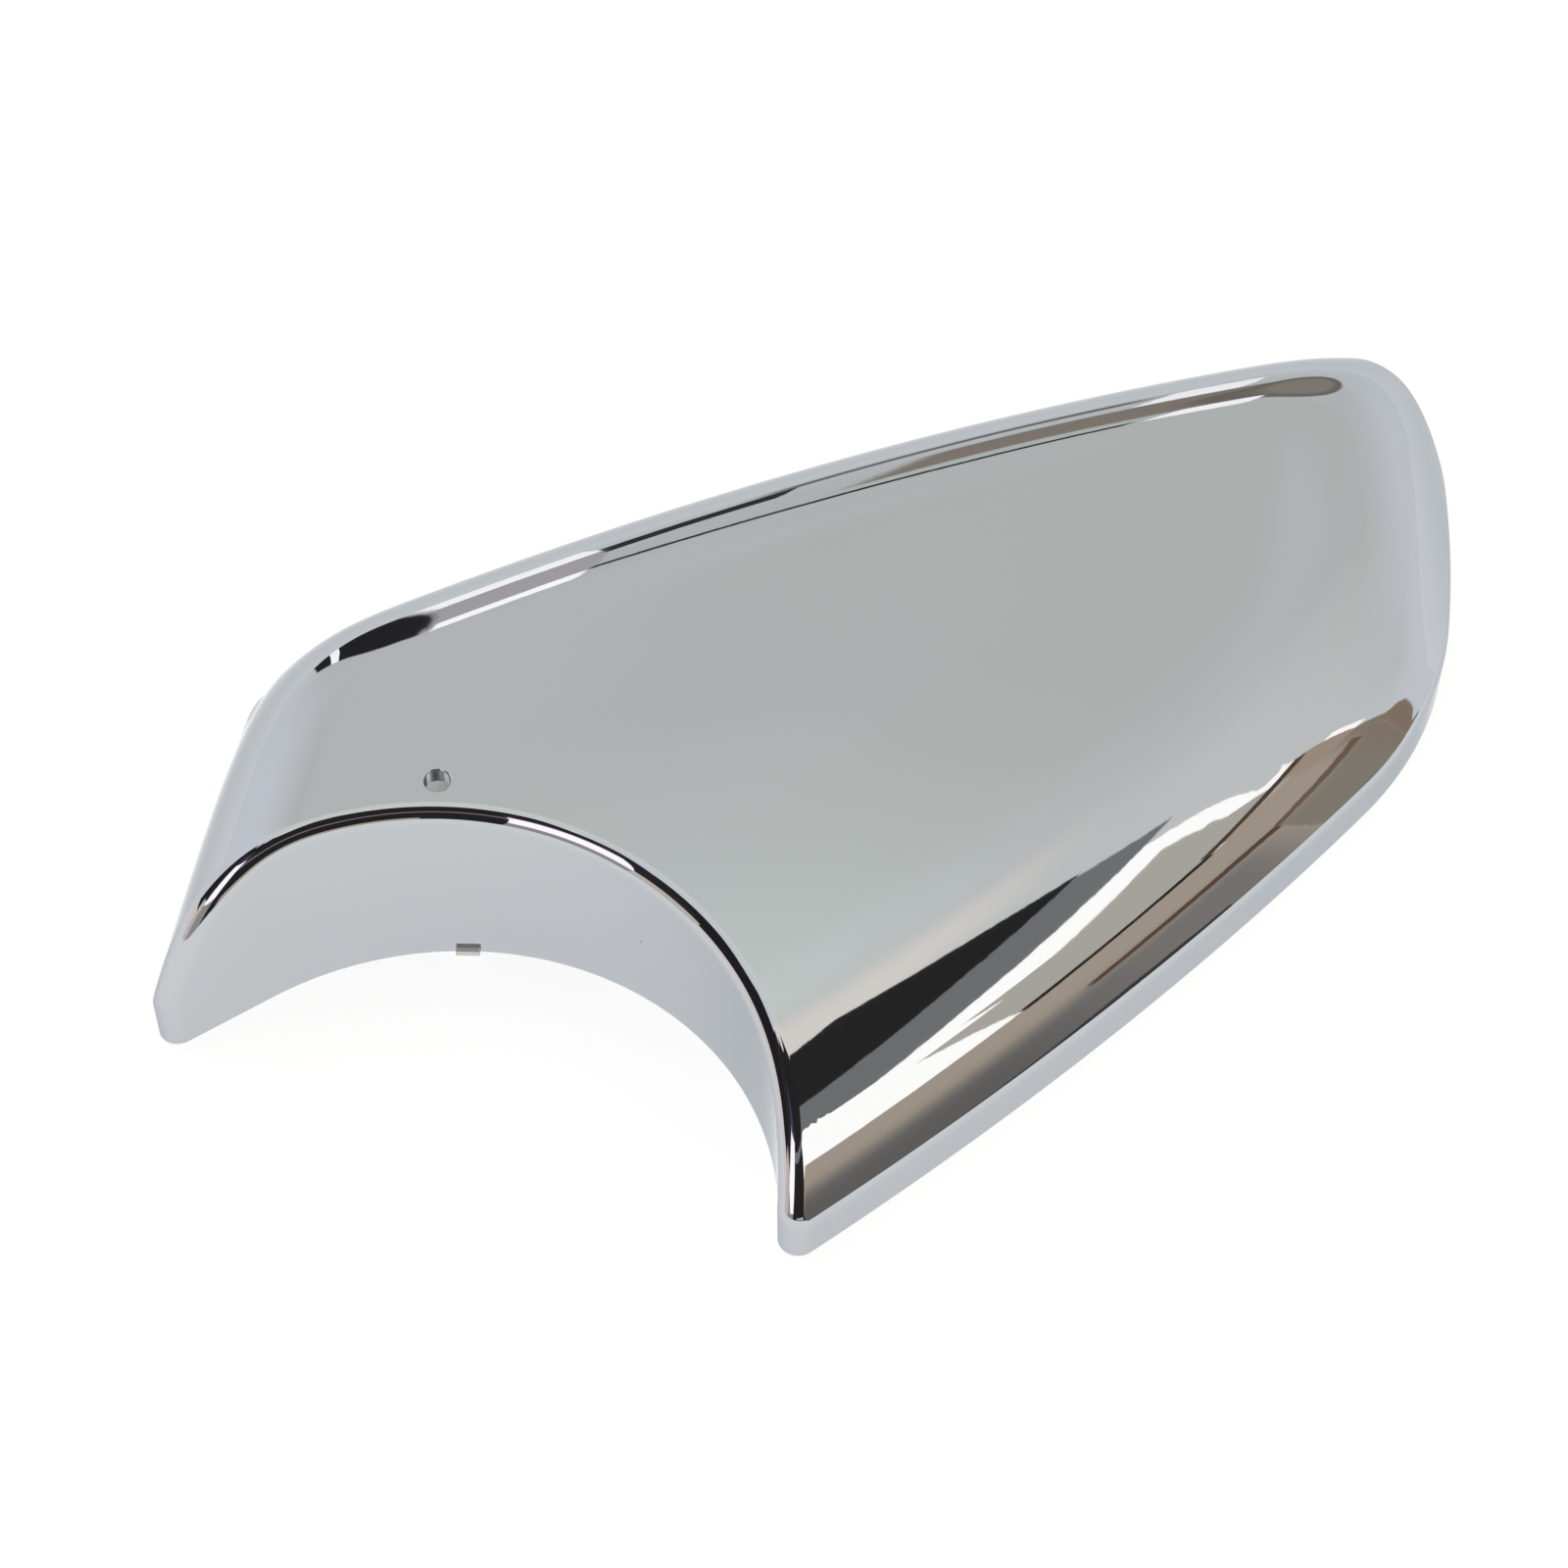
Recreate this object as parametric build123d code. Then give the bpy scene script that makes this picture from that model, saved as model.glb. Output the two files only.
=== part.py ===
from build123d import *
import os
from math import atan2, cos, degrees, hypot, pi, prod, radians, sin, sqrt

os.makedirs("parts", exist_ok=True)

# Wing mirror cover: one thin moulded shell with an open back, lying on its rim with the
# crowned face up. Millimetres and degrees. X runs along the far edge, Y points across to
# it and Z up from the rim. The origin is where the axis of the arch meets the rim plane.

# Shell
wall = 2.5
crown_height = 36.0
flange_height = 7.5
lip_height = 3.4
lip_width = 8.4
lip_power = 2.0
face_lean = 16.0
face_lean_width = 135.0
edge_round = 2.2
hollow_tip_round = 0.8

# Plan of the rim
far_edge_length = 219.4
far_edge_start = 3.3
far_edge_offset = 105.0
right_end_length = 88.4
right_end_angle = 62.8
near_edge_length = 176.0
near_edge_angle = 20.3
left_end_length = 96.0
left_end_angle = 60.0

# Outward bow of each edge and rounding of each corner
far_bow = 8.2
right_bow = 3.8
near_bow = 5.8
left_bow = 0.6
far_left_round = 12.0
far_right_round = 25.0
near_right_round = 74.0

# Width over which the face rolls down to each edge
far_roll = 37.5
right_roll = 37.0
near_roll = 33.0
left_roll = 26.0
roll_power = 3.0

# Arch that clears the mirror's foot, round and then straight towards the left tip
arch_radius = 50.0
arch_straight_angle = 13.0
arch_straight_length = 80.0

# Screw hole through the face and the stub of the moulding gate on the arch wall
hole_diameter = 4.0
hole_inset = 6.4
hole_angle = 69.5
gate_width = 3.8
gate_height = 1.2
gate_proud = 1.0
gate_angle = 66.5

# Snap hooks and stiffening webs under the face
hook_width = 11.0
hook_thickness = 2.2
hook_nose = 1.6
hook_lead = 4.0
hook_foot = 4.0
hook_inset = 9.0
web_thickness = 1.6
web_depth = 9.0
web_foot = 3.0


# Each edge of the plan is an arc, taken clockwise, so that the outside is on its left
def step(start, angle, length):
    return (start[0] + length * cos(radians(angle)), start[1] + length * sin(radians(angle)))


class BowedEdge:
    def __init__(self, start, end, bow):
        half = hypot(end[0] - start[0], end[1] - start[1]) / 2
        self.outward = ((start[1] - end[1]) / (2 * half), (end[0] - start[0]) / (2 * half))
        self.radius = (half**2 + bow**2) / (2 * bow)
        fall = self.radius - bow
        self.centre = [(start[i] + end[i]) / 2 - fall * self.outward[i] for i in (0, 1)]

    def inside(self, x, y):
        return self.radius - hypot(x - self.centre[0], y - self.centre[1])

    def crest(self, growth):
        return tuple(self.centre[i] + (self.radius + growth) * self.outward[i] for i in (0, 1))

    def place(self, along, inset):
        turn = degrees(atan2(self.outward[1], self.outward[0]) - along / self.radius)
        return Pos(*self.centre) * Rot(0, 0, turn - 90) * Pos(0, self.radius - inset)


# Corner where two neighbouring edges cross when both are moved outward by a growth
def crossing(one, other, corner, growth):
    apart = hypot(other.centre[0] - one.centre[0], other.centre[1] - one.centre[1])
    way = [(other.centre[i] - one.centre[i]) / apart for i in (0, 1)]
    first = one.radius + growth
    second = other.radius + growth
    along = (first**2 - second**2 + apart**2) / (2 * apart)
    off = sqrt(first**2 - along**2)
    foot = [one.centre[i] + way[i] * along for i in (0, 1)]
    both = [(foot[0] - way[1] * side, foot[1] + way[0] * side) for side in (off, -off)]
    return min(both, key=lambda point: hypot(point[0] - corner[0], point[1] - corner[1]))


far_left = (far_edge_start, far_edge_offset)
far_right = step(far_left, 0, far_edge_length)
near_right = step(far_right, 180 + right_end_angle, right_end_length)
near_low = step(near_right, 180 + near_edge_angle, near_edge_length)
left_low = step(far_left, 180 + left_end_angle, left_end_length)
left_edge = BowedEdge(left_low, far_left, left_bow)
far_edge = BowedEdge(far_left, far_right, far_bow)
right_edge = BowedEdge(far_right, near_right, right_bow)
near_edge = BowedEdge(near_right, near_low, near_bow)
rolls = ((left_edge, left_roll), (far_edge, far_roll), (right_edge, right_roll), (near_edge, near_roll))


# Height of the outer face: a crown that leans to the near edge, rolled down to every edge,
# with a narrow lip that steepens the last stretch down to the flange
def face_height(x, y):
    depths = [edge.inside(x, y) for edge, _ in rolls]
    lean = max(0, 1 - near_edge.inside(x, y) / face_lean_width)
    rise = crown_height - face_lean * lean**2 - flange_height - lip_height
    rolled = prod(1 - max(0, 1 - depth / roll) ** roll_power for depth, (_, roll) in zip(depths, rolls))
    lipped = prod(1 - max(0, 1 - depth / lip_width) ** lip_power for depth in depths)
    return flange_height + lip_height * lipped + rise * rolled


# A point of the face, or of the surface that lies a given depth under it
def face_point(x, y, depth):
    reach = 0.05
    slope_x = (face_height(x + reach, y) - face_height(x - reach, y)) / (2 * reach)
    slope_y = (face_height(x, y + reach) - face_height(x, y - reach)) / (2 * reach)
    size = sqrt(1 + slope_x**2 + slope_y**2)
    return (x + depth * slope_x / size, y + depth * slope_y / size, face_height(x, y) - depth / size)


# Block under the face, laid over a four-sided field that reaches past every edge
field_margin = 8.0
lengthwise_count = 33
crosswise_count = 27


def spread(count):
    return [(1 - cos(pi * i / (count - 1))) / 2 for i in range(count)]


def face_block(depth):
    far_start = crossing(left_edge, far_edge, far_left, field_margin)
    far_end = crossing(far_edge, right_edge, far_right, field_margin)
    near_end = crossing(right_edge, near_edge, near_right, field_margin)
    near_start = crossing(left_edge, near_edge, left_low, field_margin)
    far_side = ThreePointArc(far_start, far_edge.crest(field_margin), far_end)
    near_side = ThreePointArc(near_start, near_edge.crest(field_margin), near_end)
    rows = []
    for v in spread(crosswise_count):
        places = [(near_side @ u) * (1 - v) + (far_side @ u) * v for u in spread(lengthwise_count)]
        rows.append([face_point(place.X, place.Y, depth) for place in places])
    face = Face.make_surface_from_array_of_points(rows, tol=0.02, min_deg=3)
    return extrude(face, 5 * crown_height, dir=(0, 0, -1))


# Plan of the rim moved in by an inset, with the arch cut out
def nearest(shape, corner):
    return min(shape.vertices(), key=lambda vertex: hypot(vertex.X - corner[0], vertex.Y - corner[1]))


def rim_plan(inset):
    corners = [
        crossing(left_edge, far_edge, far_left, -inset),
        crossing(far_edge, right_edge, far_right, -inset),
        crossing(right_edge, near_edge, near_right, -inset),
    ]
    sides = [
        ThreePointArc(left_low, left_edge.crest(-inset), corners[0]),
        ThreePointArc(corners[0], far_edge.crest(-inset), corners[1]),
        ThreePointArc(corners[1], right_edge.crest(-inset), corners[2]),
        ThreePointArc(corners[2], near_edge.crest(-inset), near_low),
        Line(near_low, left_low),
    ]
    plan = make_face(sides)
    for corner, radius in zip(corners, (far_left_round, far_right_round, near_right_round)):
        plan = fillet(nearest(plan, corner), radius - inset)
    arch = Circle(arch_radius + inset)
    straight = Rectangle(arch_straight_length, 2 * (arch_radius + inset))
    arch += Rot(0, 0, arch_straight_angle) * Pos(-arch_straight_length / 2, 0) * straight
    return plan - arch


# Snap hook that hangs from the face and points outward, and web that props the flange
hook_profile = Polyline(
    (0, 2 * crown_height),
    (0, hook_foot),
    (hook_thickness / 2, hook_foot),
    (hook_thickness + hook_nose, hook_foot + hook_lead),
    (hook_thickness, hook_foot + hook_lead),
    (hook_thickness, 2 * crown_height),
    close=True,
)
hook = extrude(Plane.YZ * make_face(hook_profile), hook_width / 2, both=True)
web = Box(web_thickness, web_depth + wall, 2 * crown_height, align=(Align.CENTER, Align.MAX, Align.MIN))
hook_places = [(far_edge, -65), (far_edge, 5), (far_edge, 70), (right_edge, 2)]
hook_places += [(near_edge, -35), (near_edge, 32), (left_edge, 12)]
web_places = [(far_edge, -30), (far_edge, 38), (near_edge, -55), (near_edge, -2), (right_edge, 13)]

# Outside of the shell: the block under the face, rounded up one tip, round the arch and down the other
outer = extrude(rim_plan(0), 2 * crown_height) & face_block(0)
upright_edges = outer.edges().filter_by(Axis.Z)
rounded_edges = [upright_edges.sort_by(Axis.X)[0], upright_edges.sort_by(Axis.Y)[0]]
for edge in outer.faces().sort_by(SortBy.AREA)[-1].edges():
    middle = edge @ 0.5
    if min(side.inside(middle.X, middle.Y) for side, _ in rolls) > edge_round:
        rounded_edges.append(edge)
outer = fillet(rounded_edges, edge_round)

# Hollow inside it, which leaves out the hooks and webs
hollow_plan = rim_plan(wall)
hollow_corners = hollow_plan.vertices()
hollow_plan = fillet([hollow_corners.sort_by(Axis.X)[0], hollow_corners.sort_by(Axis.Y)[0]], hollow_tip_round)
hollow = Pos(0, 0, -1) * extrude(hollow_plan, 2 * crown_height) & face_block(wall)
hollow -= [edge.place(along, hook_inset) * hook for edge, along in hook_places]
hollow -= [edge.place(along, wall / 2) * Pos(0, 0, web_foot) * web for edge, along in web_places]
cover = outer - hollow

# Screw hole and gate stub, both set out round the axis of the arch
cover -= Rot(0, 0, hole_angle) * Pos(arch_radius + hole_inset, 0) * Cylinder(hole_diameter / 2, 4 * crown_height)
stub = Box(gate_proud + wall / 2, gate_width, gate_height, align=(Align.MIN, Align.CENTER, Align.MIN))
cover += Rot(0, 0, gate_angle) * Pos(arch_radius - gate_proud, 0) * stub

export_step(cover, "parts/mirror_cover.step")
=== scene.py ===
from math import atan2, ceil, cos, pi, radians, sin, sqrt

import bmesh
import bpy
import numpy as np
from mathutils import Matrix, Vector
from mathutils.geometry import delaunay_2d_cdt


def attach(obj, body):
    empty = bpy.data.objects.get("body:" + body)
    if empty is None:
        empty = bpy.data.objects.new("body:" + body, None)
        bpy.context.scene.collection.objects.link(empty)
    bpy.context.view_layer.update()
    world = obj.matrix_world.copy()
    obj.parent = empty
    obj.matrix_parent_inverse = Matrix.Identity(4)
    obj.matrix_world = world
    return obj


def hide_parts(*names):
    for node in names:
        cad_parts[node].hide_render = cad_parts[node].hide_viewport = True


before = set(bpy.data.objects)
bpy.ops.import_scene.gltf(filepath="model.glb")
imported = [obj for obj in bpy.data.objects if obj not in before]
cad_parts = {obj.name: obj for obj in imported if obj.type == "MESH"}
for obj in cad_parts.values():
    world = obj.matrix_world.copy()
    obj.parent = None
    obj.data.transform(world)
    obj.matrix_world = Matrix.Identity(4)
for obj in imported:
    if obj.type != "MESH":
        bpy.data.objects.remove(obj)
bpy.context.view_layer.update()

# Shell of the cover: one thin plastic moulding, plated all over. Its crowned face rolls down to four bowed
# edges, and a round arch is let into one corner for the mirror's foot. The sizes here are in millimetres.
metre = 1000
wall = 2.5
crown_height = 36.0
flange_height = 7.5
lip_height = 3.4
lip_width = 8.4
lip_power = 2.0
face_lean = 16.0
face_lean_width = 135.0
roll_power = 3.0
edge_round = 2.7
tip_round = 3.1
rim_round = 0.4
arch_radius = 50.0
arch_straight_angle = radians(13.0)
hole_radius = 2.0
hole_edge_round = 0.3
hole_inset = 6.4
hole_angle = radians(69.5)
hole_place = (arch_radius + hole_inset) * np.array((cos(hole_angle), sin(hole_angle)))

# Plan of the rim: lengths and directions of its edges
far_edge_length = 219.4
far_edge_start = 3.3
far_edge_offset = 105.0
right_end_length = 88.4
right_end_angle = 62.8
near_edge_length = 176.0
near_edge_angle = 20.3
left_end_length = 96.0
left_end_angle = 60.0

# Bow of each edge, width over which the face rolls down to it, and rounding of the corners, clockwise
left_bow = 0.6
far_bow = 8.2
right_bow = 3.8
near_bow = 5.8
left_roll = 26.0
far_roll = 37.5
right_roll = 37.0
near_roll = 33.0
corner_rounds = (12.0, 25.0, 74.0)

# Spacing of the places on the outline
tip_spacing = 0.2
corner_spacing = 0.6
arch_spacing = 0.8
edge_spacing = 1.2


def unit(vectors):
    return vectors / np.linalg.norm(vectors, axis=-1, keepdims=True)


def step(start, angle, length):
    return start + length * np.array((cos(radians(angle)), sin(radians(angle))))


class BowedEdge:
    def __init__(self, start, end, bow, roll):
        half = np.linalg.norm(end - start) / 2
        self.outward = np.array((start[1] - end[1], end[0] - start[0])) / (2 * half)
        self.radius = (half**2 + bow**2) / (2 * bow)
        self.centre = (start + end) / 2 - (self.radius - bow) * self.outward
        self.roll = roll

    def inside(self, places):
        return self.radius - np.linalg.norm(places - self.centre, axis=-1)

    def touch(self, ball):
        return self.centre + self.radius * unit(ball - self.centre)


far_left = np.array((far_edge_start, far_edge_offset))
far_right = step(far_left, 0, far_edge_length)
near_right = step(far_right, 180 + right_end_angle, right_end_length)
near_low = step(near_right, 180 + near_edge_angle, near_edge_length)
left_low = step(far_left, 180 + left_end_angle, left_end_length)
left_edge = BowedEdge(left_low, far_left, left_bow, left_roll)
far_edge = BowedEdge(far_left, far_right, far_bow, far_roll)
right_edge = BowedEdge(far_right, near_right, right_bow, right_roll)
near_edge = BowedEdge(near_right, near_low, near_bow, near_roll)
edges = (left_edge, far_edge, right_edge, near_edge)


def circles_meet(centre, radius, other_centre, other_radius, side):
    apart = np.linalg.norm(other_centre - centre)
    way = (other_centre - centre) / apart
    along = (radius**2 - other_radius**2 + apart**2) / (2 * apart)
    return centre + along * way + side * sqrt(radius**2 - along**2) * np.array((-way[1], way[0]))


def corner_ball(edge, other, radius):
    first = edge.radius - radius
    second = other.radius - radius
    balls = [circles_meet(edge.centre, first, other.centre, second, side) for side in (1, -1)]
    return min(balls, key=lambda ball: -np.dot(ball, edge.outward + other.outward))


# The outline of the rim, taken clockwise as rows of places with the directions that point out of the wall
def arc(centre, radius, start, end, turn, spacing):
    first = atan2(start[1] - centre[1], start[0] - centre[0])
    last = atan2(end[1] - centre[1], end[0] - centre[0])
    sweep = (last - first) * turn % (2 * pi)
    count = ceil(sweep * radius / spacing)
    angles = first + turn * sweep * np.arange(count) / count
    spokes = np.stack((np.cos(angles), np.sin(angles)), 1)
    return centre + radius * spokes, -turn * spokes


def along_edge(edge, ball, next_ball):
    return arc(edge.centre, edge.radius, edge.touch(ball), edge.touch(next_ball), -1, edge_spacing)


def round_corner(index, spacing):
    ball = corners[index]
    touches = edges[index].touch(ball), edges[index + 1].touch(ball)
    return arc(ball, corner_rounds[index], *touches, -1, spacing)


axis_of_arch = np.zeros(2)
straight_way = np.array((cos(arch_straight_angle), sin(arch_straight_angle)))
straight_up = np.array((-straight_way[1], straight_way[0]))
corners = [corner_ball(*pair) for pair in zip(edges, edges[1:], corner_rounds)]
base = (arch_radius + tip_round) * straight_up - left_edge.centre
reach = np.dot(base, straight_way)
run = -reach - sqrt(reach**2 - np.dot(base, base) + (left_edge.radius - tip_round) ** 2)
left_tip = (arch_radius + tip_round) * straight_up + run * straight_way
tips = [
    circles_meet(axis_of_arch, arch_radius + tip_round, near_edge.centre, near_edge.radius - tip_round, side)
    for side in (1, -1)
]
near_tip = max(tips, key=lambda tip: tip[0])
arch_start = arch_radius * unit(near_tip)
arch_end = arch_radius * straight_up
left_foot = left_tip - tip_round * straight_up
straight_count = ceil(np.linalg.norm(arch_end - left_foot) / arch_spacing)
straight = arch_end + (left_foot - arch_end) * np.arange(straight_count)[:, None] / straight_count
pieces = [
    arc(left_tip, tip_round, left_foot, left_edge.touch(left_tip), -1, tip_spacing),
    along_edge(left_edge, left_tip, corners[0]),
    round_corner(0, corner_spacing),
    along_edge(far_edge, corners[0], corners[1]),
    round_corner(1, corner_spacing),
    along_edge(right_edge, corners[1], corners[2]),
    round_corner(2, edge_spacing),
    along_edge(near_edge, corners[2], near_tip),
    arc(near_tip, tip_round, near_edge.touch(near_tip), arch_start, -1, tip_spacing),
    arc(axis_of_arch, arch_radius, arch_start, arch_end, 1, arch_spacing),
    (straight, np.repeat(-straight_up[None], straight_count, 0)),
]
rim = np.concatenate([places for places, _ in pieces])
out_of_rim = np.concatenate([ways for _, ways in pieces])


# The face: a crown that leans to the near edge, rolled down to every edge, with a narrow lip at the flange
def face_height(places):
    lean = np.maximum(0, 1 - near_edge.inside(places) / face_lean_width)
    rise = crown_height - face_lean * lean**2 - flange_height - lip_height
    depths = [edge.inside(places) for edge in edges]
    rolls = [1 - np.maximum(0, 1 - depth / edge.roll) ** roll_power for edge, depth in zip(edges, depths)]
    lips = [1 - np.maximum(0, 1 - depth / lip_width) ** lip_power for depth in depths]
    return flange_height + lip_height * np.prod(lips, 0) + rise * np.prod(rolls, 0)


def face_normal(places):
    nudge = 0.02
    ways = np.array(((nudge, 0.0), (0.0, nudge)))
    slopes = [(face_height(places + way) - face_height(places - way)) / (2 * nudge) for way in ways]
    return unit(np.stack((-slopes[0], -slopes[1], np.ones(len(places))), 1))


# Balls that touch the face from below, with their middles at the given places
seat_rounds = 60


def seat_ball(places, radius):
    touches = places.copy()
    for _ in range(seat_rounds):
        touches = places + radius * face_normal(touches)[:, :2]
    normals = face_normal(touches)
    centres = np.column_stack((places, face_height(touches) - radius * normals[:, 2]))
    return centres, touches, normals


# A skin gathers places, the directions that they face and the faces between them, for one closed mesh
class Skin:
    def __init__(self):
        self.places = np.zeros((0, 3))
        self.normals = np.zeros((0, 3))
        self.inner = np.zeros(0)
        self.faces = []

    def row(self, places, normals, inner=0.0):
        first = len(self.places)
        self.inner = np.concatenate((self.inner, np.full(len(places), inner)))
        self.places = np.concatenate((self.places, places))
        self.normals = np.concatenate((self.normals, normals))
        return np.arange(first, len(self.places))

    def face(self, corners):
        a, b, c = self.places[list(corners[:3])]
        facing = np.dot(np.cross(b - a, c - b), self.normals[list(corners)].sum(0))
        self.faces.append(list(corners) if facing > 0 else list(corners[::-1]))

    def strip(self, one, other):
        for i in range(len(one)):
            self.face((one[i - 1], one[i], other[i], other[i - 1]))

    def mesh(self, name):
        keys = np.round(self.places, 4)
        _, kept, merged = np.unique(keys, axis=0, return_index=True, return_inverse=True)
        merged = merged.reshape(-1)
        self.hidden = self.inner[kept]
        mesh = bpy.data.meshes.new(name)
        mesh.from_pydata(self.places[kept] / metre, [], [merged[face].tolist() for face in self.faces])
        mesh.polygons.foreach_set("use_smooth", [True] * len(mesh.polygons))
        mesh.normals_split_custom_set(self.normals[np.concatenate(self.faces)])
        return mesh


def flat(places, height):
    return np.column_stack((places, np.full(len(places), height)))


def level(ways):
    return np.column_stack((ways, np.zeros(len(ways))))


def in_loop(places, loop):
    inside = np.zeros(len(places), bool)
    for start, end in zip(loop, np.roll(loop, -1, 0)):
        crosses = (start[1] > places[:, 1]) != (end[1] > places[:, 1])
        drop = end[1] - start[1] if end[1] != start[1] else 1.0
        crossing = start[0] + (places[:, 1] - start[1]) * (end[0] - start[0]) / drop
        inside ^= crosses & (places[:, 0] < crossing)
    return inside


def least_gap(places, others):
    gaps = []
    for part in np.array_split(places, 40):
        gaps.append(np.linalg.norm(part[:, None] - others[None], axis=2).min(1))
    return np.concatenate(gaps)


# Triangles between the loop of a rim and the loop of a hole: rings that keep their depth from the rim of the
# cover, so that one of them runs along the inner edge of the lip, and then an even grid
ring_share = 0.98
ring_gap = 0.45
grid_share = 0.6
grid_gap = 0.4


def fill(loop, hole, depths, spacing):
    both = np.concatenate((loop, hole))
    points = [loop, hole]
    for depth in depths:
        ring = rim - depth * out_of_rim
        clear = (least_gap(ring, rim) > ring_share * depth) & (least_gap(ring, both) > ring_gap)
        points.append(ring[clear & in_loop(ring, loop)])
    low = loop.min(0)
    counts = np.ceil((loop.max(0) - low) / spacing).astype(int)
    across, along = np.meshgrid(np.arange(counts[0]), np.arange(counts[1]))
    grid = low + spacing * np.stack((across.ravel() + 0.5 * (along.ravel() % 2), along.ravel()), 1)
    grid = grid[in_loop(grid, loop)]
    clear = least_gap(grid, rim) > depths[-1] + grid_share * spacing
    points.append(grid[clear & (least_gap(grid, hole) > grid_gap)])
    points = np.concatenate(points)
    loop_ids = np.arange(len(loop))
    hole_ids = np.arange(len(hole)) + len(loop)
    ties = [*zip(loop_ids, np.roll(loop_ids, -1)), *zip(hole_ids, np.roll(hole_ids, -1))]
    ties = [(int(start), int(end)) for start, end in ties]
    corners, _, triangles, *_ = delaunay_2d_cdt([Vector(point) for point in points], ties, [], 1, 1e-6)
    places = np.array([tuple(corner) for corner in corners])
    middles = np.array([places[triangle].mean(0) for triangle in triangles])
    kept = ~in_loop(middles, hole)
    return places, [triangle for triangle, keep in zip(triangles, kept) if keep]


cover_skin = Skin()
round_steps = 8


def round_over(skin, places, ways, radius):
    centres, touches, normals = seat_ball(places - radius * ways, radius)
    sides = level(ways)
    turns = np.arccos(np.clip((sides * normals).sum(1), -1, 1))[:, None]
    rows = []
    for share in np.arange(round_steps + 1) / round_steps:
        facing = (np.sin((1 - share) * turns) * sides + np.sin(share * turns) * normals) / np.sin(turns)
        rows.append(skin.row(centres + radius * facing, facing))
    for one, other in zip(rows, rows[1:]):
        skin.strip(one, other)
    return rows[0], touches


wall_top, face_loop = round_over(cover_skin, rim, out_of_rim, edge_round)
hole_count = 48
hole_turns = [2 * pi * i / hole_count for i in range(hole_count)]
hole_spokes = np.stack([[cos(turn), sin(turn)] for turn in hole_turns])
hole_rim = hole_place + hole_radius * hole_spokes
hole_top, hole_loop = round_over(cover_skin, hole_rim, -hole_spokes, hole_edge_round)

# Outer face
face_rings = (0.9, 1.5, 2.2, 3.0, 3.8, 4.7, 5.6, 6.5, 7.4, lip_width, 9.5, 10.7, 12.0, 13.4)
face_spacing = 1.6
places, triangles = fill(face_loop, hole_loop, face_rings, face_spacing)
face_ids = cover_skin.row(np.column_stack((places, face_height(places))), face_normal(places))
for triangle in triangles:
    cover_skin.face(face_ids[triangle])

# Outer wall, rounded under the rim, and the flat that the cover lies on
foot = cover_skin.row(flat(rim, rim_round), level(out_of_rim))
cover_skin.strip(wall_top, foot)
for angle in (30, 60, 90):
    facing = cos(radians(angle)) * level(out_of_rim) - sin(radians(angle)) * np.array((0, 0, 1))
    under = cover_skin.row(flat(rim - rim_round * out_of_rim, rim_round) + rim_round * facing, facing)
    cover_skin.strip(foot, under)
    foot = under
inner_rim = rim - wall * out_of_rim
down = np.repeat([[0.0, 0.0, -1.0]], len(rim), 0)
cover_skin.strip(foot, cover_skin.row(flat(inner_rim, 0), down))

# Inner wall and inner face, one wall under the outer one
centres, inner_loop, _ = seat_ball(inner_rim, wall)
inner_foot = cover_skin.row(flat(inner_rim, 0), -level(out_of_rim), 1.0)
cover_skin.strip(inner_foot, cover_skin.row(centres, -level(out_of_rim), 1.0))
hole_centres, inner_hole, _ = seat_ball(hole_rim, wall)
inner_rings = (3.4, 4.8, 6.4, lip_width, 10.6, 13.0)
inner_spacing = 2.8
places, triangles = fill(inner_loop, inner_hole, inner_rings, inner_spacing)
normals = face_normal(places)
under_face = np.column_stack((places, face_height(places))) - wall * normals
inner_ids = cover_skin.row(under_face, -normals, 1.0)
for triangle in triangles:
    cover_skin.face(inner_ids[triangle])
cover_skin.strip(hole_top, cover_skin.row(hole_centres, -level(hole_spokes), 1.0))

cover = bpy.data.objects.new("plated_shell", cover_skin.mesh("plated_shell"))
bpy.context.collection.objects.link(cover)


# Shader maths in plain expressions: a signal wraps a socket, and other nodes come from its node method
class Signal:
    def __init__(self, tree, socket):
        self.tree = tree
        self.socket = socket

    def node(self, kind, settings, sockets, output=0):
        node = self.tree.nodes.new(kind)
        for name, value in settings.items():
            setattr(node, name, value)
        for name, value in sockets.items():
            if isinstance(value, Signal):
                self.tree.links.new(value.socket, node.inputs[name])
            else:
                node.inputs[name].default_value = value
        return Signal(self.tree, node.outputs[output])

    def maths(self, operation, *values):
        return self.node("ShaderNodeMath", {"operation": operation}, dict(enumerate(values)))

    def __add__(self, other):
        return self.maths("ADD", self, other)

    def __sub__(self, other):
        return self.maths("SUBTRACT", self, other)

    def __rsub__(self, other):
        return self.maths("SUBTRACT", other, self)

    def __mul__(self, other):
        return self.maths("MULTIPLY", self, other)

    def __truediv__(self, other):
        return self.maths("DIVIDE", self, other)

    __radd__ = __add__
    __rmul__ = __mul__

    def parts(self):
        split = self.node("ShaderNodeSeparateXYZ", {}, {0: self}).socket.node
        return [Signal(self.tree, socket) for socket in split.outputs]

    def over(self, edge, soft):
        limits = {"Value": self, "From Min": edge - soft, "From Max": edge + soft}
        return self.node("ShaderNodeMapRange", {"interpolation_type": "SMOOTHSTEP"}, limits)

    def within(self, low, high):
        return self.maths("COMPARE", self, (low + high) / 2, (high - low) / 2)

    def between(self, low, high, soft):
        return self.over(low, soft) * (1 - self.over(high, soft))

    def tint(self, colour, other):
        return self.node("ShaderNodeMix", {"data_type": "RGBA"}, {0: self, 6: colour, 7: other}, 2)


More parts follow.
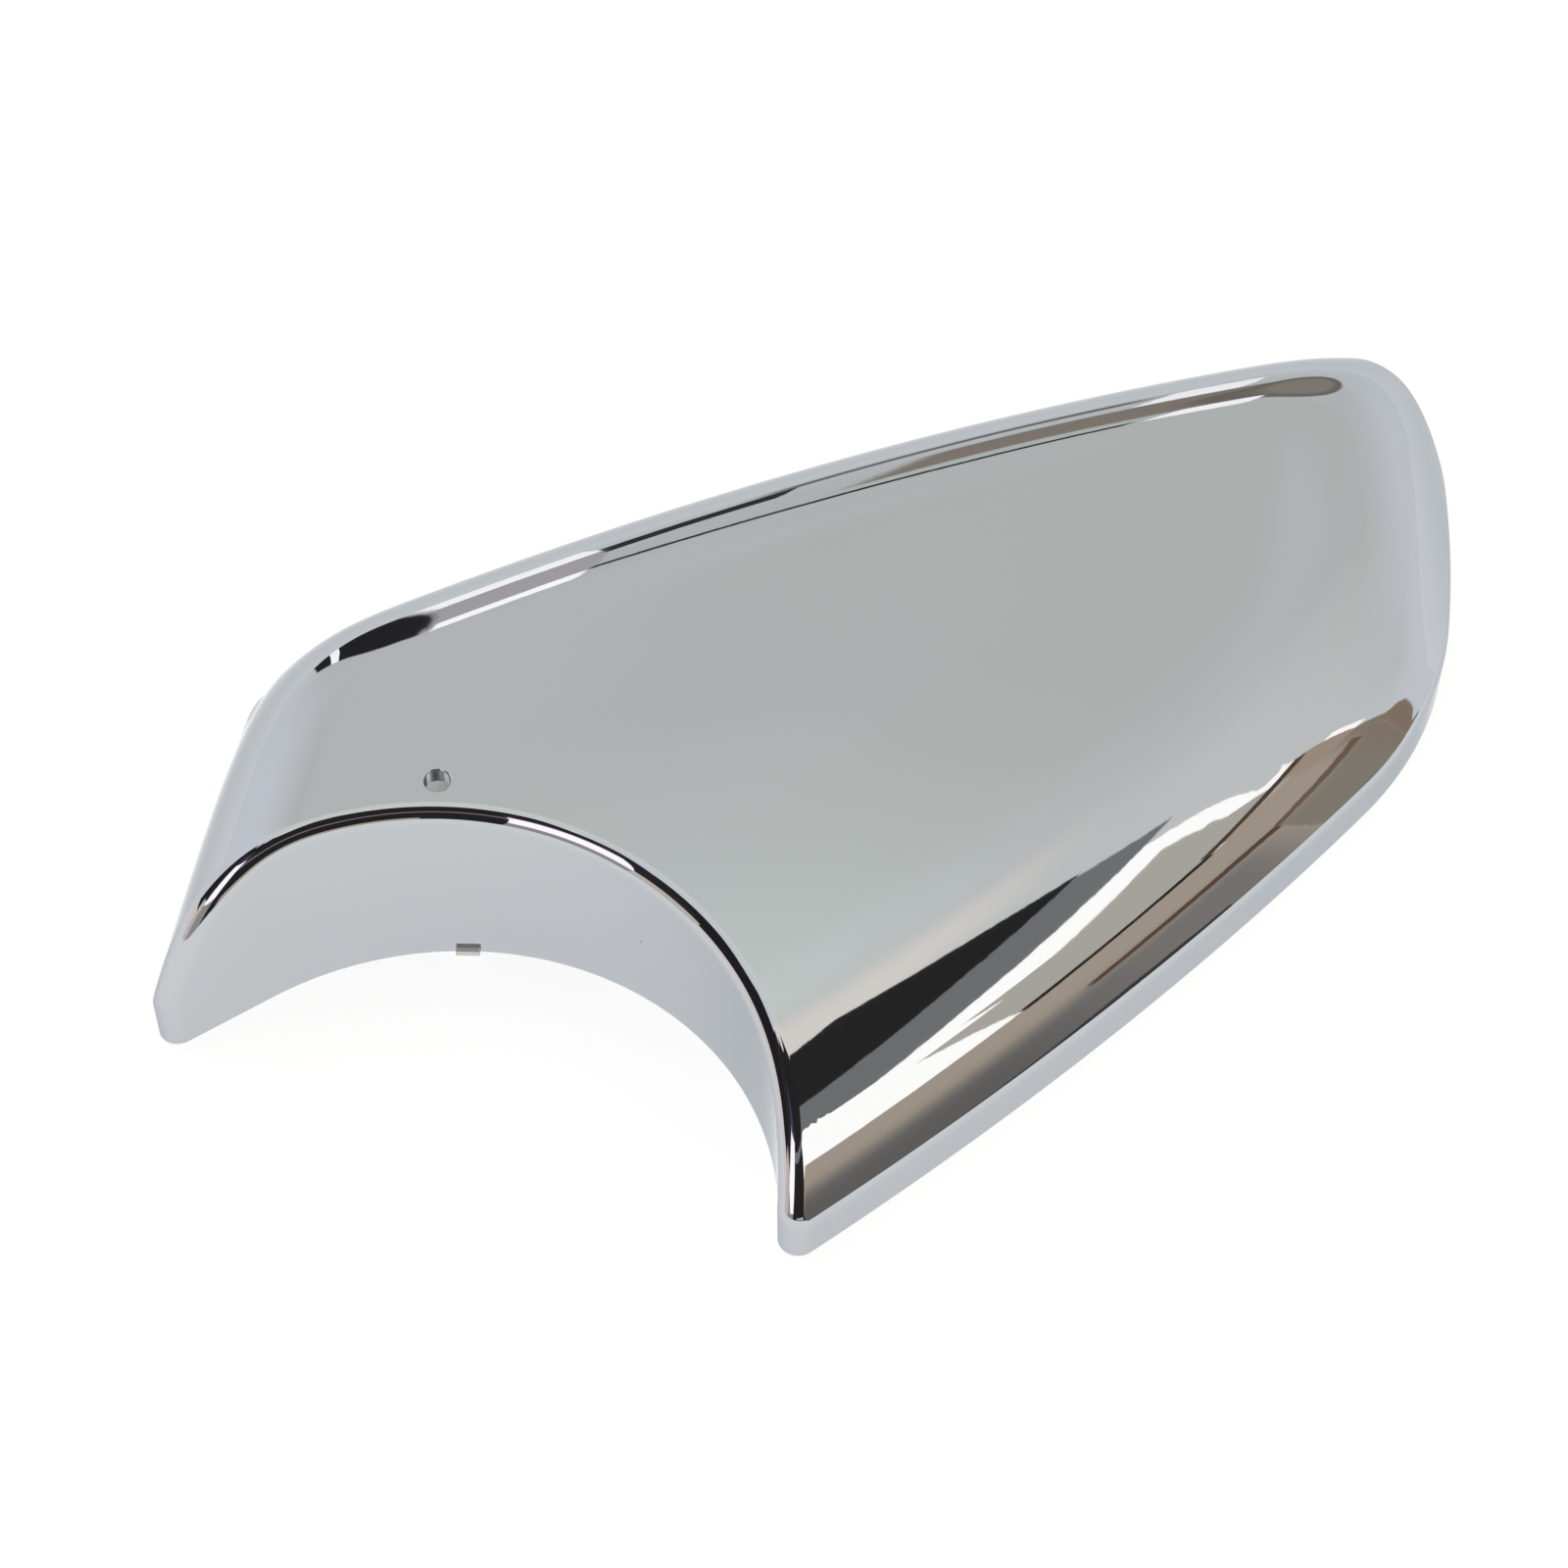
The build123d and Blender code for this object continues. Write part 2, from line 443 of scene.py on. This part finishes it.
plating_colour = (0.525, 0.553, 0.58, 1.0)
haze_colour = (0.545, 0.57, 0.592, 1.0)
speck_colour = (0.2, 0.2, 0.205, 1.0)
dull_colour = (0.44, 0.455, 0.47, 1.0)
plating = bpy.data.materials.new("bright plating")
plating.use_nodes = True
plating_tree = plating.node_tree
shader = plating_tree.nodes["Principled BSDF"]
shader.inputs["Metallic"].default_value = 1.0
shader.inputs["Specular Tint"].default_value = (0.68, 0.7, 0.72, 1.0)
place = Signal(plating_tree, plating_tree.nodes.new("ShaderNodeTexCoord").outputs["Object"])
dull = place.node("ShaderNodeAttribute", {"attribute_name": "dull"}, {}, "Fac")
haze = place.node("ShaderNodeTexNoise", {}, {"Vector": place, "Scale": 30.0, "Detail": 4.0})
swell = place.node("ShaderNodeTexNoise", {}, {"Vector": place, "Scale": 45.0, "Detail": 0.0})
peel = place.node("ShaderNodeTexNoise", {}, {"Vector": place, "Scale": 350.0, "Detail": 1.0})
grain = place.node("ShaderNodeTexNoise", {}, {"Vector": place, "Scale": 1500.0, "Detail": 2.0})
pit = place.node("ShaderNodeTexVoronoi", {}, {"Vector": place, "Scale": 70.0}, "Distance")
lot = place.node("ShaderNodeTexVoronoi", {}, {"Vector": place, "Scale": 70.0}, "Color")
lot = place.node("ShaderNodeSeparateColor", {}, {"Color": lot}, "Red")
speck = (1 - pit.over(0.012, 0.004)) * lot.over(0.9, 0.01)
finish = (haze * 0.6).tint(plating_colour, haze_colour)
finish = speck.tint(finish, speck_colour)
finish = dull.tint(finish, dull_colour)
rough = haze * 0.03 + speck * 0.3 + dull * (0.2 + 0.12 * grain) + 0.012
relief = swell * 0.05 + peel * 0.005 + dull * grain * 0.02 - speck * 0.02
bump = place.node("ShaderNodeBump", {}, {"Height": relief, "Strength": 1.0, "Distance": 0.0006})
plating_tree.links.new(finish.socket, shader.inputs["Base Color"])
plating_tree.links.new(rough.socket, shader.inputs["Roughness"])
plating_tree.links.new(bump.socket, shader.inputs["Normal"])


# The hidden side keeps the duller face of the mould under the plating
def mark_dull(mesh, values):
    mesh.attributes.new("dull", "FLOAT", "POINT").data.foreach_set("value", values)


mark_dull(cover.data, cover_skin.hidden)
cover.data.materials.append(plating)
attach(cover, "root")
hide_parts("mirror_cover")

# Gate stub: what is left on the arch wall where the moulding was broken off its sprue after plating. It
# shows the bare pale plastic of the shell, and its end is a little uneven. The profile gives the distance
# from the axis of the arch and the height over the rim.
gate_width = 3.8
gate_angle = 66.5
gate_soft = 0.08
gate_profile = ((51.2, 0.02), (49.15, 0.02), (49.05, 0.45), (49.2, 0.8), (49.1, 1.15), (51.2, 1.2))


# A closed block with softened edges, from a profile across Y and Z that is drawn out along X
def drawn_out(name, profile, width, soft, turn=0.0):
    shape = bmesh.new()
    first = shape.faces.new([shape.verts.new((-width / 2, y, z)) for y, z in profile])
    drawn = bmesh.ops.extrude_face_region(shape, geom=[first])["geom"]
    moved = [item for item in drawn if isinstance(item, bmesh.types.BMVert)]
    bmesh.ops.translate(shape, verts=moved, vec=(width, 0, 0))
    bmesh.ops.recalc_face_normals(shape, faces=shape.faces)
    bmesh.ops.bevel(shape, geom=shape.edges, offset=soft, segments=2, profile=0.5, affect="EDGES")
    placed = Matrix.Rotation(turn, 4, "Z") @ Matrix.Scale(1 / metre, 4)
    bmesh.ops.transform(shape, verts=shape.verts, matrix=placed)
    mesh = bpy.data.meshes.new(name)
    shape.to_mesh(mesh)
    shape.free()
    piece = bpy.data.objects.new(name, mesh)
    bpy.context.collection.objects.link(piece)
    return piece


gate = drawn_out("gate_stub", gate_profile, gate_width, gate_soft, radians(gate_angle - 90))
bare = bpy.data.materials.new("bare plastic")
bare.use_nodes = True
shader = bare.node_tree.nodes["Principled BSDF"]
shader.inputs["Base Color"].default_value = (0.9, 0.9, 0.88, 1.0)
shader.inputs["Roughness"].default_value = 0.45
gate.data.materials.append(bare)
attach(gate, "root")

# Snap hooks: seven tongues moulded under the face, each with a nose that points outward and catches behind
# the edge of the mirror housing. They are plated with the shell.
hook_width = 11.0
hook_thickness = 2.2
hook_nose = 1.6
hook_lead = 4.0
hook_foot = 4.0
hook_root = 9.5
hook_inset = 9.0
hook_soft = 0.25
hook_places = [(far_edge, -65), (far_edge, 5), (far_edge, 70), (right_edge, 2)]
hook_places += [(near_edge, -35), (near_edge, 32), (left_edge, 12)]
hook_profile = (
    (0, hook_root),
    (0, hook_foot),
    (hook_thickness / 2, hook_foot),
    (hook_thickness + hook_nose, hook_foot + hook_lead),
    (hook_thickness, hook_foot + hook_lead),
    (hook_thickness, hook_root),
)

# Node tree that sets one piece at every place, turned outward, and draws its root up into the face
hang = bpy.data.node_groups.new("hang under the face", "GeometryNodeTree")
for label, kind in (("Places", "Geometry"), ("Piece", "Object"), ("Shell", "Object")):
    hang.interface.new_socket(label, in_out="INPUT", socket_type="NodeSocket" + kind)
for label, kind in (("Root level", "Float"), ("Sunk depth", "Float"), ("Finish", "Material")):
    hang.interface.new_socket(label, in_out="INPUT", socket_type="NodeSocket" + kind)
hang.interface.new_socket("Pieces", in_out="OUTPUT", socket_type="NodeSocketGeometry")
given = {socket.name: Signal(hang, socket) for socket in hang.nodes.new("NodeGroupInput").outputs}
places = given["Places"]
heading = places.node("GeometryNodeInputNamedAttribute", {"data_type": "FLOAT"}, {"Name": "heading"})
heading = places.node("ShaderNodeCombineXYZ", {}, {"Z": heading})
heading = places.node("FunctionNodeEulerToRotation", {}, {0: heading})
piece = places.node("GeometryNodeObjectInfo", {}, {"Object": given["Piece"]}, "Geometry")
shell = places.node("GeometryNodeObjectInfo", {}, {"Object": given["Shell"]}, "Geometry")
hanging = {"Points": places, "Instance": piece, "Rotation": heading}
hung = places.node("GeometryNodeInstanceOnPoints", {}, hanging)
hung = places.node("GeometryNodeRealizeInstances", {}, {"Geometry": hung})
point = places.node("GeometryNodeInputPosition", {}, {})
x, y, z = point.parts()
above = places.node("ShaderNodeCombineXYZ", {}, {"X": x, "Y": y, "Z": 100 / metre})
aim = {"Target Geometry": shell, "Source Position": above}
aim |= {"Ray Direction": (0, 0, -1), "Ray Length": 200 / metre}
hit = places.node("GeometryNodeRaycast", {}, aim, "Hit Position")
facing = places.node("GeometryNodeRaycast", {}, aim, "Hit Normal")
root = hit.parts()[2] - given["Sunk depth"] / facing.parts()[2]
root = places.node("ShaderNodeCombineXYZ", {}, {"X": x, "Y": y, "Z": root})
is_root = z.maths("GREATER_THAN", z, given["Root level"])
hung = places.node("GeometryNodeSetPosition", {}, {"Geometry": hung, "Selection": is_root, "Position": root})
hung = places.node("GeometryNodeSetMaterial", {}, {"Geometry": hung, "Material": given["Finish"]})
hang.links.new(hung.socket, hang.nodes.new("NodeGroupOutput").inputs["Pieces"])


sunk_depth = 1.5


def hang_pieces(name, pattern, edge_places, inset, root_level):
    spots = []
    headings = []
    for edge, along in edge_places:
        angle = atan2(edge.outward[1], edge.outward[0]) - along / edge.radius
        spot = edge.centre + (edge.radius - inset) * np.array((cos(angle), sin(angle)))
        spots.append((*spot / metre, 0.0))
        headings.append(angle - pi / 2)
    holder = bpy.data.objects.new("holder", bpy.data.meshes.new("holder"))
    holder.data.from_pydata(spots, [], [])
    holder.data.attributes.new("heading", "FLOAT", "POINT").data.foreach_set("value", headings)
    bpy.context.collection.objects.link(holder)
    modifier = holder.modifiers.new("hang", "NODES")
    modifier.node_group = hang
    settings = {"Piece": pattern, "Shell": cover, "Finish": plating}
    settings |= {"Root level": root_level / metre, "Sunk depth": sunk_depth / metre}
    for label, value in settings.items():
        modifier[hang.interface.items_tree[label].identifier] = value
    depsgraph = bpy.context.evaluated_depsgraph_get()
    mesh = bpy.data.meshes.new_from_object(holder.evaluated_get(depsgraph))
    mesh.name = name
    bpy.data.objects.remove(holder)
    bpy.data.objects.remove(pattern)
    mark_dull(mesh, np.ones(len(mesh.vertices)))
    pieces = bpy.data.objects.new(name, mesh)
    bpy.context.collection.objects.link(pieces)
    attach(pieces, "root")


hook = drawn_out("hook", hook_profile, hook_width, hook_soft)
hang_pieces("snap_hooks", hook, hook_places, hook_inset, hook_root - 0.6)

# Stiffening webs: five thin ribs that prop the flange from inside, moulded and plated with the shell. Their
# upper edge follows the underside of the face.
web_thickness = 1.6
web_depth = 9.0
web_foot = 3.0
web_root = 5.0
web_soft = 0.15
web_steps = 12
web_places = [(far_edge, -30), (far_edge, 38), (near_edge, -55), (near_edge, -2), (right_edge, 13)]
web_run = np.linspace(-0.3, -web_depth - wall, web_steps)
web_profile = [(web_run[0], web_foot), *((run, web_root) for run in web_run), (web_run[-1], web_foot)]
web = drawn_out("web", web_profile, web_thickness, web_soft)
hang_pieces("stiffening_webs", web, web_places, wall / 2, web_root - 0.5)

# Table: a plain white board that the cover lies on, in metres. It glows as if lit from below, as a
# photographer's
# # table is, apart from an oval patch under the cover, where a painted shadow dims the glow. It is clear
# from below, which shows the inside.
table_radius = 2.5
painted_shadow_middle = (0.0825, 0.075)
painted_shadow_reach = (0.075, 0.03)
floor_mesh = bpy.data.meshes.new("table")
floor_shape = bmesh.new()
bmesh.ops.create_circle(floor_shape, cap_ends=True, segments=96, radius=table_radius)
floor_shape.to_mesh(floor_mesh)
floor_shape.free()
floor = bpy.data.objects.new("table", floor_mesh)
bpy.context.collection.objects.link(floor)
board = bpy.data.materials.new("white board")
board.use_nodes = True
shader = board.node_tree.nodes["Principled BSDF"]
shader.inputs["Base Color"].default_value = (0.35, 0.35, 0.35, 1.0)
shader.inputs["Roughness"].default_value = 0.9
shader.inputs["Specular IOR Level"].default_value = 0.0
shader.inputs["Emission Strength"].default_value = 0.84
spot = Signal(board.node_tree, board.node_tree.nodes.new("ShaderNodeTexCoord").outputs["Object"])
x, y, z = spot.parts()
away_x = (x - painted_shadow_middle[0]) / painted_shadow_reach[0]
away_y = (y - painted_shadow_middle[1]) / painted_shadow_reach[1]
away = x.node("ShaderNodeCombineXYZ", {}, {"X": away_x, "Y": away_y})
away = x.node("ShaderNodeVectorMath", {"operation": "LENGTH"}, {0: away}, "Value")
# Painted shadow: the board's glow is dimmed to dark grey inside the oval patch under the cover
glow_with_painted_shadow = away.over(0.85, 0.25).tint((0.1, 0.1, 0.1, 1.0), (1.0, 1.0, 1.0, 1.0))
board.node_tree.links.new(glow_with_painted_shadow.socket, shader.inputs["Emission Color"])
below = spot.node("ShaderNodeNewGeometry", {}, {}, "Backfacing")
clear = spot.node("ShaderNodeBsdfTransparent", {}, {})
lit = Signal(board.node_tree, shader.outputs[0])
surface = spot.node("ShaderNodeMixShader", {}, {0: below, 1: lit, 2: clear})
board.node_tree.links.new(surface.socket, board.node_tree.nodes["Material Output"].inputs["Surface"])
floor.data.materials.append(board)

# Light: a white tent round the table, with dark, white and brown fields in it that the plating shows. Their
# places are bearings and heights in degrees, and their colours are given as they are seen in the plating.
world = bpy.data.worlds.new("light tent")
bpy.context.scene.world = world
world.use_nodes = True
world_tree = world.node_tree
background = world_tree.nodes["Background"]
ray = Signal(world_tree, world_tree.nodes.new("ShaderNodeTexCoord").outputs["Generated"])
x, y, z = ray.parts()
degree = pi / 180
height = z.maths("ARCSINE", z) * (1 / degree)
bearing = x.maths("ARCTAN2", y, x) * (1 / degree)


# A colour that is to be seen in the plating, as the light that makes it
def seen(red, green, blue):
    lights = [(value / 255 + 0.055) / 1.055 for value in (red, green, blue)]
    return tuple(light**2.4 / share for light, share in zip(lights, plating_colour)) + (1.0,)


# A field of one colour, over all that a mask covers or between two bearings and two heights
def field(sky, mask, colour):
    return mask.tint(sky, seen(*colour))


def card(sky, bearings, heights, colour):
    return field(sky, bearing.within(*bearings) * height.within(*heights), colour)


# Cloth of the tent: grey on the far side, paler elsewhere, and a little warm high on the near side
cloth = ray.node("ShaderNodeTexNoise", {}, {"Vector": ray, "Scale": 3.0, "Detail": 1.0})
sky = cloth.over(0.5, 0.2).tint(seen(170, 175, 174), seen(176, 179, 182))
sky = field(sky, height.over(63, 8), (190, 197, 195))
sky = field(sky, 1 - bearing.over(0, 18), (185, 188, 188))
sky = field(sky, (1 - bearing.over(35, 20)) * (1 - height.over(16, 12)), (187, 190, 199))
sky = field(sky, bearing.over(100, 14), (188, 192, 200))
sky = field(sky, 1 - height.over(7, 13), (191, 196, 200))
sky = field(sky, (1 - bearing.over(-2, 9)) * height.over(57, 4), (206, 202, 198))

# Far side: a long brown field with a round end, white spots, and a dark rail that bends down
sky = field(sky, bearing.between(57, 69, 0.8) * height.between(13, 26, 0.8), (124, 116, 108))
from_middle = {"X": (bearing - 49) / 11.5, "Y": (height - 19) / 10.5}
round_end = bearing.node("ShaderNodeCombineXYZ", {}, from_middle)
round_end = bearing.node("ShaderNodeVectorMath", {"operation": "LENGTH"}, {0: round_end}, "Value")
sky = field(sky, 1 - round_end.over(0.97, 0.06), (102, 98, 92))
sky = field(sky, 1 - round_end.over(0.75, 0.15), (124, 119, 112))
sky = card(sky, (55, 58.5), (26, 30), (240, 240, 242))
sky = card(sky, (60.5, 63.5), (3, 12.5), (240, 240, 243))
rail = height + (bearing - 64) * (bearing - 64) * 0.037
sky = field(sky, bearing.within(59, 77) * rail.within(29.8, 31.4), (44, 44, 46))
sky = field(sky, bearing.between(64, 74, 1.0) * height.between(2.5, 6.5, 1.0), (104, 103, 104))
sky = card(sky, (73, 79.5), (6, 13), (48, 47, 48))

# Far side, on the left: a leaning post, white at its head and foot, and a black field with a white strip
lean = bearing + (height - 29) * 0.09
sky = field(sky, lean.within(76, 80.2) * height.within(9, 30), (158, 156, 160))
for low, high in ((25.5, 30), (0, 9)):
    sky = field(sky, lean.within(76, 79.9) * height.within(low, high), (246, 246, 249))
slope = height + (bearing - 80.5) * 1.26
under_slope = 1 - slope.over(29, 0.5)
sky = field(sky, lean.over(80.2, 0.15) * (1 - bearing.over(96, 0.3)) * under_slope, (34, 34, 37))
sky = field(sky, bearing.within(89.6, 91.8) * under_slope, (245, 246, 250))

# Near side, low on the right: brown fields that darken to the foot, under grey and white ones
sky = card(sky, (-62, -17), (0, 22), (156, 145, 134))
sky = field(sky, bearing.between(-62, -30, 3) * (1 - height.over(10, 3.5)), (114, 111, 109))
sky = field(sky, bearing.between(-62, -41, 5) * (1 - height.over(10, 7)), (92, 91, 90))
sky = card(sky, (-62, -19.5), (22, 44.5), (250, 250, 250))
sky = card(sky, (-22, -17), (28, 32), (246, 245, 243))
sky = card(sky, (-41, -21.7), (23, 37), (164, 161, 154))
sky = card(sky, (-36, -22), (37, 41), (164, 161, 154))
sky = card(sky, (-29, -17), (20, 24), (156, 143, 131))
ramp = height - (bearing + 29) * 0.62
sky = field(sky, bearing.within(-29, -17) * (1 - ramp.over(10.4, 1.5)), (124, 118, 108))
slope = height + (bearing + 16.5) * 1.5
right_end = bearing.over(-19.5, 4) * (1 - bearing.over(-9.3, 0.6)) * height.over(2, 1)
sky = field(sky, right_end * (1 - slope.over(20, 0.5)), (124, 111, 97))
ledge = height - (bearing + 30) * 0.5
under_ledge = (1 - ledge.over(23, 0.3)) * height.over(20, 0.3)
sky = field(sky, bearing.within(-21.7, -16.6) * under_ledge, (150, 136, 122))
sky = field(sky, bearing.within(-30, -17) * ledge.within(22, 24), (76, 60, 50))
sky = card(sky, (-41, -30), (21.2, 23), (38, 36, 35))
sky = field(sky, bearing.within(-29, -19) * ramp.within(10.2, 11.6), (104, 86, 72))
sky = card(sky, (-40, -29), (9.6, 11.2), (84, 67, 54))
sky = card(sky, (-62, -34), (-0.5, 1.2), (52, 51, 52))
sky = card(sky, (-16.6, -15.2), (20.2, 26), (247, 247, 247))

# Near side, high on the right: a black field over a grey one
sky = card(sky, (-62, -17), (44.5, 50.3), (107, 108, 110))
sky = card(sky, (-62, -16.5), (50.3, 61.5), (35, 35, 36))

# Near side, behind and left of the camera: a black field with a grey line and a tall white one
sky = card(sky, (-161, -61.5), (0, 82), (34, 33, 34))
sky = card(sky, (-62, -25), (61.5, 82), (36, 35, 36))
sky = card(sky, (-129, -66), (44, 50), (112, 108, 116))
sky = card(sky, (-108, -72), (2, 9), (172, 160, 150))
sky = card(sky, (-161, -129), (0, 22), (135, 132, 135))
sky = card(sky, (-161, -129), (55, 63), (70, 56, 92))
sky = card(sky, (-161, -129), (22, 55), (250, 248, 253))
sky = card(sky, (-181, -161), (0, 26), (178, 172, 166))
sky = card(sky, (-181, -161), (26, 76), (38, 36, 38))
sky = card(sky, (155, 181), (0, 15), (200, 190, 192))
sky = card(sky, (155, 181), (15, 70), (30, 29, 31))

# Below the table's edge the light is that of the table itself
sky = field(sky, 1 - height.over(0, 0.3), (185, 190, 196))
world_tree.links.new(sky.socket, background.inputs["Color"])
world.cycles.sampling_method = "NONE"
board.cycles.emission_sampling = "NONE"

# Camera: above the near side of the cover and to its left
target = Vector((73.5, 45.2, 17.8)) / metre
turn = radians(22.3)
tilt = radians(48.5)
distance = 0.536
forward = Vector((cos(tilt) * sin(turn), cos(tilt) * cos(turn), -sin(tilt)))
camera = bpy.data.objects.new("camera", bpy.data.cameras.new("camera"))
camera.data.angle = radians(26)
camera.location = target - distance * forward
camera.rotation_euler = forward.to_track_quat("-Z", "Y").to_euler()
bpy.context.collection.objects.link(camera)
bpy.context.scene.camera = camera
bpy.context.scene.view_settings.view_transform = "Standard"
